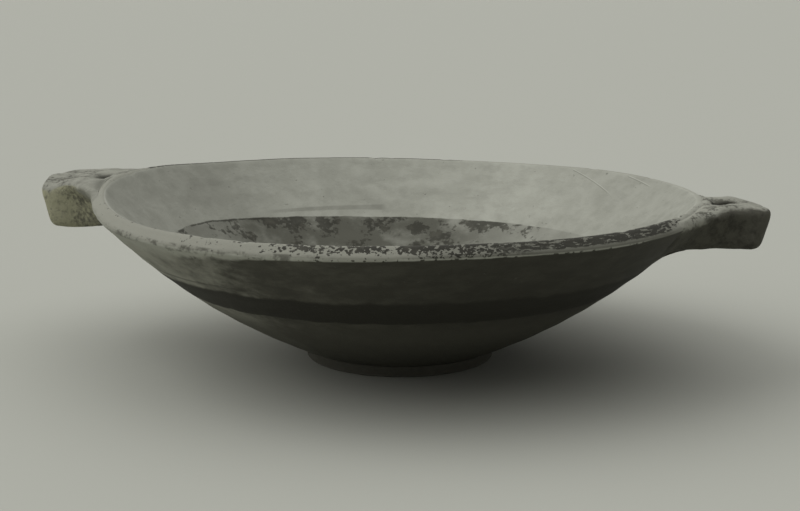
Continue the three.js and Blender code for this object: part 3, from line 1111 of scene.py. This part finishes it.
# %% [markdown]
# ## Masks
#
# Each layer of the finish needs to know where it lies. Brush strokes ran round the bowl, so their
# noise is stretched that way. Flaked paint is noise cut at a level: a high level leaves a few
# specks, a low one leaves most of the paint. Two sizes of noise are added, because flakes come off
# in clusters.

# %% Make the masks
def around(finish, place, height, stretch):
    """Coordinates whose noise runs in long streaks round the bowl, as brush strokes do."""
    x, y, _ = finish.axes(place)
    radius = finish.math("SQRT", x * x + y * y)
    return finish.vector(x / radius * stretch, y / radius * stretch, height)


def brush_streaks(finish, place, height):
    return finish.noise(around(finish, place, height, 0.05), 0.004, detail=5, roughness=0.6)


def grit(finish, place):
    """The grain of fired clay."""
    return finish.noise(place, 0.0011, detail=3)


def toward(finish, turn, middle, reach, full):
    """1 within full degrees of a direction round the bowl, falling to 0 at reach degrees."""
    near = finish.math("COSINE", turn - math.radians(middle))
    return finish.ramp(near, math.cos(math.radians(reach)), math.cos(math.radians(full)))


def flaked(finish, place, cover, lump, soft=0.02, cluster=0.45, detail=4):
    """Where paint is left: 1 on paint, 0 where it flaked. Cover is its share of the surface."""
    clusters = finish.noise(place, 6 * lump, detail=2, roughness=0.5)
    flakes = finish.noise(place, lump, detail=detail, roughness=0.6)
    level = cluster * clusters + (1 - cluster) * flakes + 0.34 * (cover - 0.5)
    return finish.ramp(level, 0.5 - soft, 0.5 + soft)


def slip_colour(finish, place):
    """Pale slip, mottled and stained."""
    mottle = finish.noise(place, 0.017, detail=7, roughness=0.65)
    stain = finish.noise(place, 0.060, detail=4)
    fresh = finish.mix(finish.ramp(mottle, 0.34, 0.66), SLIP_DULL, SLIP_PALE)
    return finish.mix(0.12 * finish.ramp(stain, 0.48, 0.66), fresh, GRIME_AND_SHADE)


def wash_colour(finish, place, streaks, worn):
    """The thin dark wash outside, streaky, rubbed through where worn, and partly painted light on the
    left.
    """
    rubbed = finish.noise(place, 0.016, detail=7, roughness=0.65)
    share = finish.ramp(0.35 * rubbed + 0.65 * streaks, 0.40, 0.62)
    colour = finish.mix(share, WASH, WASH_WORN)
    through = finish.ramp(0.75 * rubbed + 0.25 * streaks + 0.45 * (worn - 1), 0.13, 0.60)
    return finish.mix(through, colour, WASH_BARE)


def paint_colour(finish, place):
    """Brown-black paint, thinner in places."""
    thin = finish.noise(place, 0.008, detail=5)
    return finish.mix(finish.ramp(thin, 0.45, 0.75), PAINT, PAINT_WORN)


print("masks ready")

# %% [markdown]
# ## Wash and band
#
# One material covers the body, built in layers as the potter and time built it. Outside, a thin dark
# wash was brushed on up to the lip, and a darker band over it while the bowl turned. An unwrapped
# image could carry them. Masks from the marks on the wall need no unwrapping and stay sharp at any
# size. The wash is darker beside the right handle and paler towards the left. It is partly thick and
# worn wash, and partly painted shade on the right and painted light on the left, where the light
# falls.

# %% Layer the outside
BAND = (0.0427, 0.0552)  # heights on the wall
WASH_TOP = (0.0788, 0.0781)
THIN_STROKE = 0.0588


def outside_layers(f, colour, place, turn, height, outside, streaks, wander):
    """The wash, the band and the stroke above it."""
    # left of the outside: worn wash with its edge lower, and paler partly as painted light from the
    # left
    worn = toward(f, turn, -170, 77, 38)
    thick_and_shaded = toward(f, turn, -15, 80, 45)
    by_handle = toward(f, turn, -9, 26, 10)
    ragged = f.noise(place, 0.010, detail=6, roughness=0.65)
    spots = f.ramp(f.noise(place, 0.0024, detail=3), 0.56, 0.66)
    edge = height + 0.0012 * (wander - 0.5) + worn * (0.0030 + 0.014 * (ragged - 0.5))
    edge = edge - 0.0008 * thick_and_shaded - 0.0025 * by_handle - 0.0012 * spots
    washed = outside * f.ramp(edge, WASH_TOP[0], WASH_TOP[1] - 0.005 * worn)
    wash = wash_colour(f, place, streaks, worn)
    # darker towards the right handle: thicker wash, and partly painted shade away from the light
    wash = f.mix(0.60 * thick_and_shaded, wash, PAINT)
    wash = f.mix(0.80 * f.ramp(height, 0.046, 0.030), wash, WASH_WORN)
    colour = f.mix(washed, colour, wash)
    brushed = height + 0.0030 * (streaks - 0.5) + 0.0025 * (wander - 0.5)
    foot_side = f.ramp(brushed, BAND[0] - 0.0006, BAND[0] + 0.0004)
    lip_side = f.ramp(brushed, BAND[1] + 0.0014, BAND[1] - 0.0010)
    stroke = f.ramp(f.math("ABSOLUTE", brushed - THIN_STROKE), 0.0010, 0.0004) * worn
    banded = f.math("MAXIMUM", 0.95 * foot_side * lip_side, 0.5 * stroke)
    return f.mix(outside * banded, colour, BAND_PAINT_AND_SHADE), washed


print("band:", round(1000 * (BAND[1] - BAND[0]), 1), "mm high")

# %% [markdown]
# ## Paint on the lip
#
# The face of the lip was painted, and hands have rubbed much of it off. The paint is well kept beside
# the right handle and almost gone towards the left. Each such stretch of the rim is a mask by
# direction. Together they give the share of paint that is left at a place, and noise cut at that
# share gives the flakes.

# %% Layer the lip
LIP_PAINT_LOW = 0.0838  # height above which paint lies on the crest itself


def lip_layers(f, colour, place, turn, height, through, paint):
    """The rubbed lip and the flaked paint on it."""
    scattered = toward(f, turn, -40, 84, 40)
    kept = toward(f, turn, -40, 38, 30)
    well_kept = toward(f, turn, -30, 34, 20)
    kept_behind = toward(f, turn, 130, 46, 36)
    rubbed = toward(f, turn, 6, 33, 23)
    on_face = f.ramp(through, 0.02, 0.10) * f.ramp(through, 0.99, 0.94)
    upper = f.ramp(through + 0.12 * well_kept, 0.18, 0.52)
    ragged = f.noise(place, 0.005, detail=6, roughness=0.7)
    below = f.ramp(through + 0.30 * (ragged - 0.5), 0.30, 0.20)
    strip = 1 - well_kept * below
    colour = f.mix(0.85 * on_face * (1 - 0.4 * rubbed), colour, SLIP_RUBBED)
    colour = f.mix(on_face * (0.40 * kept + 0.15 * well_kept) * (1 - 0.6 * rubbed), colour, GRIME_AND_SHADE)
    colour = f.mix(0.20 * on_face * kept * below * (1 - 0.6 * rubbed), colour, WASH)
    low_edge = f.ramp(f.math("ABSOLUTE", through - 0.10), 0.20, 0.08) * f.ramp(height, 0.0775, 0.0785)
    in_front = toward(f, turn, -114, 30, 16)
    smudges = in_front * flaked(f, around(f, place, height, 0.11), 0.34, 0.0030, 0.06)
    colour = f.mix(0.70 * low_edge * smudges, colour, WASH)
    by_crest = f.ramp(f.math("ABSOLUTE", through - 0.86), 0.08, 0.04) * toward(f, turn, -132, 24, 14)
    cover = 0.02 + 0.22 * by_crest + scattered * (0.12 + 0.36 * upper) + kept * (0.32 - 0.26 * upper)
    cover = cover + 0.12 * well_kept * upper + 0.85 * kept_behind - 0.48 * rubbed
    crest = f.ramp(height, LIP_PAINT_LOW - 0.0004, LIP_PAINT_LOW + 0.0004)
    ends = f.math("MAXIMUM", f.ramp(through, 0.99, 0.94), kept_behind * crest)
    dots = flaked(f, around(f, place, WALL * through, 0.130), cover, 0.0016, cluster=0.36, detail=2)
    streaked = flaked(f, around(f, place, WALL * through, 0.050), cover, 0.0012, cluster=0.18)
    flakes = dots + well_kept * (streaked - dots)
    paint = f.mix(0.8 * kept, paint, BAND_PAINT_AND_SHADE)
    painted = on_face * ends * strip * f.ramp(height, 0.076, 0.079) * flakes
    # painted highlight: a thin pale line along the crest of the lip, on the left and the front
    crest_highlight = f.ramp(f.math("ABSOLUTE", through - 0.96), 0.030, 0.010)
    crest_highlight = crest_highlight * toward(f, turn, -118, 48, 34)
    colour = f.mix(0.45 * crest_highlight * f.noise(place, 0.012), colour, SLIP_HIGHLIGHT)
    return f.mix(painted, colour, paint), painted


print("paint on the crest above", LIP_PAINT_LOW, "m")

# %% [markdown]
# ## The painted round
#
# A round was painted on the floor, a little off the middle. It is worn down to stains, with some of
# its paint left along the edge, a blot, and a faint stroke that missed it. The distance from the
# middle is enough to draw a round, so it needs no shape of its own, and a wandering edge shows the
# brush.

# %% Layer the round
ROUND_RADIUS = 0.1128
ROUND_SHIFT = 0.0066  # how much further the painted round reaches on the left
ROUND_REMAINS = ((140, 6), (123, 5), (109, 4), (82, 4), (71, 3))  # degrees: middle, half width
BLOT = Vector((-0.0141, 0.1046))  # its middle
MISSED_RADIUS = 0.1192  # of the stroke that missed the round
MISSED_START, MISSED_SPAN = math.radians(107), math.radians(41)


def round_layers(f, colour, x, y, place, turn, radius, inside, wander, paint):
    """The worn painted round on the floor, its blot, and the stroke that missed it."""
    left = f.math("MAXIMUM", -1 * f.math("COSINE", turn), 0)
    depth = ROUND_RADIUS + ROUND_SHIFT * left * left * left - radius + 0.0016 * (wander - 0.5)
    in_round = inside * f.ramp(depth, -0.0003, 0.0005)
    rubbed = 0.65 * toward(f, turn, 15, 74, 42) + 0.45 * toward(f, turn, 178, 24, 10)
    swept = around(f, place, radius, 0.065)
    bare = 0.6 * f.noise(place, 0.026, detail=6, roughness=0.6) + 0.4 * f.noise(swept, 0.007, detail=5)
    used = 0.10 * f.ramp(radius, 0.085, 0.030)
    stain = (0.42 + 0.58 * f.ramp(bare + used, 0.70, 0.44)) * (1 - rubbed)
    colour = f.mix(in_round * stain, colour, GRIME_AND_SHADE)
    remains = 0
    for middle, half in ROUND_REMAINS:
        remains = remains + toward(f, turn, middle, half + 2.5, half - 1)
    at_edge = f.ramp(depth, 0.0085, 0.0030)
    line = f.ramp(depth, 0.0012, 0.0006) * toward(f, turn, 163, 20, 12)
    cover = 0.35 + 0.27 * at_edge * remains + 0.35 * line - 0.20 * rubbed
    patches = flaked(f, place, cover, 0.0026, soft=0.03, cluster=0.6)
    colour = f.mix(0.8 * in_round * patches, colour, paint)
    across = x - BLOT.x
    along = 1.35 * (y - BLOT.y)
    frayed = f.noise(place, 0.0032, detail=4, roughness=0.6)
    blot_size = f.math("SQRT", across * across + along * along) + 0.014 * (frayed - 0.5)
    colour = f.mix(0.75 * in_round * f.ramp(blot_size, 0.0064, 0.0050), colour, paint)
    share = (turn - MISSED_START) / MISSED_SPAN
    stroke_half = 0.0014 - 0.0010 * share
    off = f.math("ABSOLUTE", radius - MISSED_RADIUS)
    stroke = f.ramp(off, stroke_half + 0.0007, stroke_half - 0.0002)
    faint = 0.32 * f.ramp(share, 0, 0.05) * f.ramp(share, 1, 0.6)
    return f.mix(inside * faint * stroke, colour, GRIME_AND_SHADE)


print("round:", 2 * ROUND_RADIUS, "m across, with", len(ROUND_REMAINS), "remains of paint")

# %% [markdown]
# ## Scratches, and all layers together
#
# Two scratches run down the right of the inside. Cut into the mesh they would need far smaller faces,
# so each groove's lit edge and its shadow are painted into the colour: a painted highlight beside a
# painted shadow. Then all layers go over each other on the slip, the paint of the lip last, and a fine
# relief of grit, brush marks and pits ends the finish.

# %% Paint the body
SCRATCHES = (  # both ends of each: degrees, height
    ((60.6, 0.0836), (43.0, 0.0729)),
    ((43.5, 0.0837), (32.4, 0.0809)),
)


def scratch_layer(f, colour, turn, height, inside):
    """Scratches through the slip on the right of the inside: painted highlight beside painted shadow.
    """
    for (start, start_height), (end, end_height) in SCRATCHES:
        share = (turn - math.radians(start)) / math.radians(end - start)
        off = height - (start_height + (end_height - start_height) * share)
        length = inside * f.ramp(share, 0, 0.05) * f.ramp(share, 1, 0.7)
        # painted highlight on the lit edge of the groove
        pale = f.ramp(f.math("ABSOLUTE", off - 0.00015), 0.00028, 0.00008)
        # painted shadow in the groove
        dark = f.ramp(f.math("ABSOLUTE", off + 0.00020), 0.00028, 0.00008)
        colour = f.mix(0.35 * length * pale, colour, SLIP_HIGHLIGHT)
        colour = f.mix(0.40 * length * dark, colour, GRIME_AND_SHADE)
    return colour


def body_finish():
    f = Finish("slipped_and_painted_body")
    place = f.place()
    x, y, _ = f.axes(place)
    radius = f.math("SQRT", x * x + y * y)
    turn = f.math("ARCTAN2", y, x)
    through = f.mark("through_wall")
    height = f.mark("height_on_wall")
    inside = f.ramp(through, 0.95, 0.995)
    outside = f.ramp(through, 0.10, 0.02)
    streaks = brush_streaks(f, place, height)
    wander = f.noise(around(f, place, height, 0.12), 0.012, detail=5, roughness=0.6)
    paint = paint_colour(f, place)

    colour = slip_colour(f, place)
    colour = f.mix(0.12 * inside * f.ramp(streaks, 0.45, 0.65), colour, GRIME_AND_SHADE)
    # painted shade on the left of the inside, partly a grey stain there
    colour = f.mix(0.20 * inside * toward(f, turn, 178, 47, 20), colour, GRIME_AND_SHADE)
    colour = f.mix(0.25 * inside * toward(f, turn, 5, 70, 25), colour, GRIME_AND_SHADE)
    colour = round_layers(f, colour, x, y, place, turn, radius, inside, wander, paint)
    colour = scratch_layer(f, colour, turn, height, inside)
    colour, washed = outside_layers(f, colour, place, turn, height, outside, streaks, wander)
    colour, painted = lip_layers(f, colour, place, turn, height, through, paint)

    pits = f.ramp(f.noise(place, 0.0030, detail=2), 0.70, 0.78)
    colour = f.mix(0.5 * pits, colour, GRIME_AND_SHADE)
    dark = f.math("MAXIMUM", painted, washed)
    relief = 0.30 * grit(f, place) + 0.30 * streaks - 0.5 * pits + 0.25 * painted
    return f.finished(colour, 0.9 - 0.2 * dark, relief, 0.0005)


thrown_body.data.materials.append(body_finish())
print("body painted with", len(thrown_body.data.materials[0].node_tree.nodes), "nodes")

# %% [markdown]
# ## Finish of the straps
#
# The handles were dipped in the same slip and painted on their faces. Hands rubbed the paint off
# their tops. The right one kept most of its paint, the left one little, and it is bare where it
# meets the rim. Both have the same layers in different shares, so one function makes both finishes.

# %% Paint the straps
def strap_finish(
    name, base, dark, cover, root_cover, soft, wrap, top_cover, top_stain, bare_root, bare_fall,
    flake_root,
):
    """Slip all over, paint on the faces, bare at the root and flaked on the top."""
    f = Finish(name)
    place = f.place()
    up = f.mark("facing_up")
    off = f.mark("off_the_rim")
    below = f.mark("below_top")
    ragged = f.noise(place, 0.009, detail=6, roughness=0.65)
    top = f.ramp(up + 1.2 * (ragged - 0.5), wrap, wrap + 0.36)
    bare_end = off + bare_fall * below + 0.010 * (ragged - 0.5)
    bare = f.ramp(bare_end, bare_root + 0.0022, bare_root - 0.0022)
    faces = (1 - top) * (1 - bare)
    colour = f.mix(0.75, slip_colour(f, place), SLIP_RUBBED)
    colour = f.mix(top_stain * f.ramp(ragged, 0.38, 0.60), colour, GRIME_AND_SHADE)
    colour = f.mix(faces, colour, base)
    near_root = f.ramp(off - 0.3 * below, 0.029, 0.002)
    painted = faces * flaked(f, place, cover + root_cover * near_root, 0.0024, soft)
    paint = f.mix(f.ramp(f.noise(place, 0.007, detail=5), 0.40, 0.65), dark, PAINT_WORN)
    colour = f.mix(0.9 * painted, colour, paint)
    specks = f.ramp(f.noise(place, 0.0019, detail=2), 0.60, 0.68)
    colour = f.mix(0.5 * faces * specks, colour, base)
    colour = f.mix(0.22 * faces * f.ramp(off - 0.4 * below, 0.021, 0.030), colour, WASH_BARE)
    flake_end = off + 0.010 * (ragged - 0.5)
    pale = (top + bare - top * bare) * f.ramp(flake_end, flake_root - 0.0022, flake_root + 0.0022)
    top_flakes = pale * flaked(f, place, top_cover, 0.0015, 0.03)
    colour = f.mix(0.7 * top_flakes, colour, paint)
    # painted shade deep in the finger gap
    colour = f.mix(0.95 * f.mark("gap_shade"), colour, BAND_PAINT_AND_SHADE)
    pits = f.ramp(f.noise(place, 0.0032, detail=2), 0.64, 0.78)
    relief = 0.35 * grit(f, place) + 0.8 * ragged - 0.6 * pits
    return f.finished(colour, 0.88 - 0.15 * painted, relief, 0.0006)


left_finish = strap_finish(
    "rubbed_strap", OLIVE, WASH, cover=0.06, root_cover=0.52, soft=0.12, wrap=0.14,
    top_cover=0.37, top_stain=0.35, bare_root=0.0095, bare_fall=0.45, flake_root=0.0095,
)
right_finish = strap_finish(
    "painted_strap", WASH_WORN, PAINT, cover=0.55, root_cover=0.0, soft=0.16, wrap=0.56,
    top_cover=0.38, top_stain=0.15, bare_root=0.0105, bare_fall=1.2, flake_root=-0.010,
)
straps["left"].data.materials.append(left_finish)
straps["right"].data.materials.append(right_finish)
print("painted:", [strap.name for strap in straps.values()])

# %% [markdown]
# ## Finish of the foot and the wads
#
# The foot and the wads of clay carry the outside's wash, and the foot is rubbed where it stands. One
# material does for all of them, because it asks only where a point lies.

# %% Paint the foot and the wads
def wash_finish(name):
    f = Finish(name)
    place = f.place()
    _, _, z = f.axes(place)
    streaks = brush_streaks(f, place, z)
    rubbed = f.ramp(z + 0.0015 * (streaks - 0.5), 0.0014, 0.0004)
    colour = f.mix(0.6, wash_colour(f, place, streaks, 0), WASH_WORN)
    colour = f.mix(0.2 * rubbed, colour, WASH_BARE)
    return f.finished(colour, 0.85, 0.4 * grit(f, place) + 0.4 * streaks, 0.0005)


outside_wash = wash_finish("outside_wash")
for piece in [ring_foot, foot_fillet, *smears.values()]:
    piece.data.materials.append(outside_wash)
print("painted: foot, fillet and", len(smears), "wads")

# %% [markdown]
# ## Assembly
#
# Nothing on a bowl moves, so every piece rides on the one body of the model and stands in for its
# solid.


def seat(piece, node):
    """Puts a piece in the place of its solid."""
    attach(piece, "root")
    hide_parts(node)


seat(thrown_body, "bowl_body")
seat(ring_foot, "foot_ring")
seat(foot_fillet, "foot_lute")
for side, strap in straps.items():
    seat(strap, f"handle_{side}")
for (side, arm), smear in smears.items():
    seat(smear, f"lute_{side}_{arm}")
